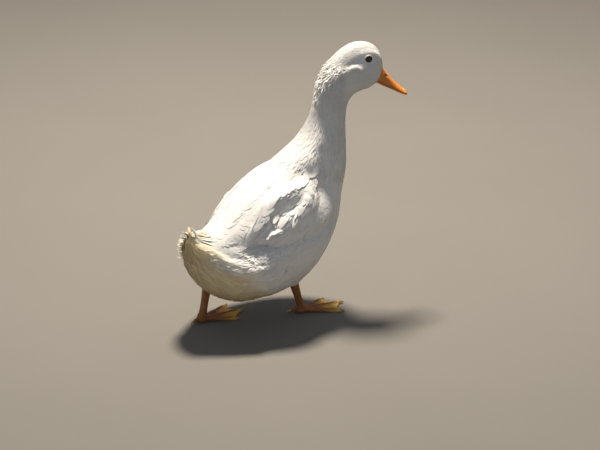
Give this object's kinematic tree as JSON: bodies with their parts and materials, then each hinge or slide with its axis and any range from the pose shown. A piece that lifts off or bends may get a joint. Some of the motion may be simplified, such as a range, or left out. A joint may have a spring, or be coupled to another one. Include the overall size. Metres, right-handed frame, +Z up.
{
  "type": "duck",
  "caption": "White domestic duck standing in mid-step on webbed feet, upright neck, head turned a little to its right and orange bill pointing down, as a still life-size model.",
  "frame": {"origin": "middle of the bounding box in plan, on the floor under the soles", "axes": "+X is the way the trunk faces, +Y is the duck's left, +Z is up"},
  "size_m": [0.4052, 0.174, 0.4426],
  "materials": {
    "plumage": "white contour feathers with a soft matt surface",
    "cream_plumage": "white feathers tinted cream, soft and matt",
    "bill": "smooth orange horn skin with a low sheen",
    "nail": "smooth pale horn",
    "leg_skin": "fine scaled orange skin, satin",
    "claw": "smooth pale brown horn",
    "eye": "wet, very glossy, nearly black"
  },
  "bodies": {
    "root": {"trunk": "plumage", "neck": "plumage", "head": "plumage", "eye_left": "eye", "eye_right": "eye", "bill_upper": "bill", "bill_nail": "nail", "bill_lower": "bill", "wing_left": "plumage", "wing_right": "plumage", "tail": "cream_plumage", "thigh_left": "plumage", "shank_left": "leg_skin", "foot_left": "leg_skin", "claw_left_inner": "claw", "claw_left_middle": "claw", "claw_left_outer": "claw", "claw_left_back": "claw", "thigh_right": "plumage", "shank_right": "leg_skin", "foot_right": "leg_skin", "claw_right_inner": "claw", "claw_right_middle": "claw", "claw_right_outer": "claw", "claw_right_back": "claw"}
  },
  "joints": []
}
